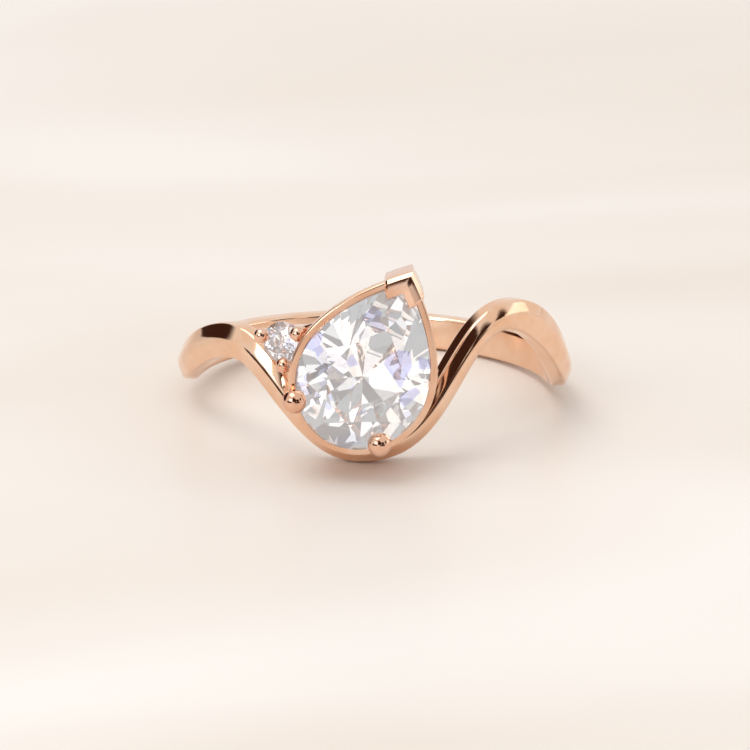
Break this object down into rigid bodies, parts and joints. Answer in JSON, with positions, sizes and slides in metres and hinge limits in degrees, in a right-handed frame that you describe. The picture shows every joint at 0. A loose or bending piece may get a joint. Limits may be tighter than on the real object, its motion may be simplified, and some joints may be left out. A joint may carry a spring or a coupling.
{
  "type": "engagement ring",
  "caption": "Waved soft-ridged band ring that holds a leaning pear-cut stone in an open basket with a point claw and ball claws, beside a small round accent stone.",
  "frame": {"origin": "centre of the finger hole, at the middle of the band's width at the back", "axes": "+Z along the finger, -Y from the finger to the stones, +X to the right as seen from the front"},
  "size_m": [0.0186, 0.022, 0.0097],
  "materials": {
    "rose_gold": "14 carat rose gold, mirror polished",
    "gemstone": "colourless faceted gemstone, polished"
  },
  "bodies": {
    "root": {"shank": "rose_gold", "wave_front": "rose_gold", "cradle_wall": "rose_gold", "centre_lower_rail": "rose_gold", "centre_upper_rail": "rose_gold", "tip_v_claw": "rose_gold", "left_ball_claw": "rose_gold", "lower_ball_claw": "rose_gold", "centre_stone": "gemstone", "accent_collet": "rose_gold", "accent_left_claw": "rose_gold", "accent_right_claw": "rose_gold", "accent_lower_claw": "rose_gold", "accent_bridge": "rose_gold", "accent_stone": "gemstone"}
  },
  "joints": []
}
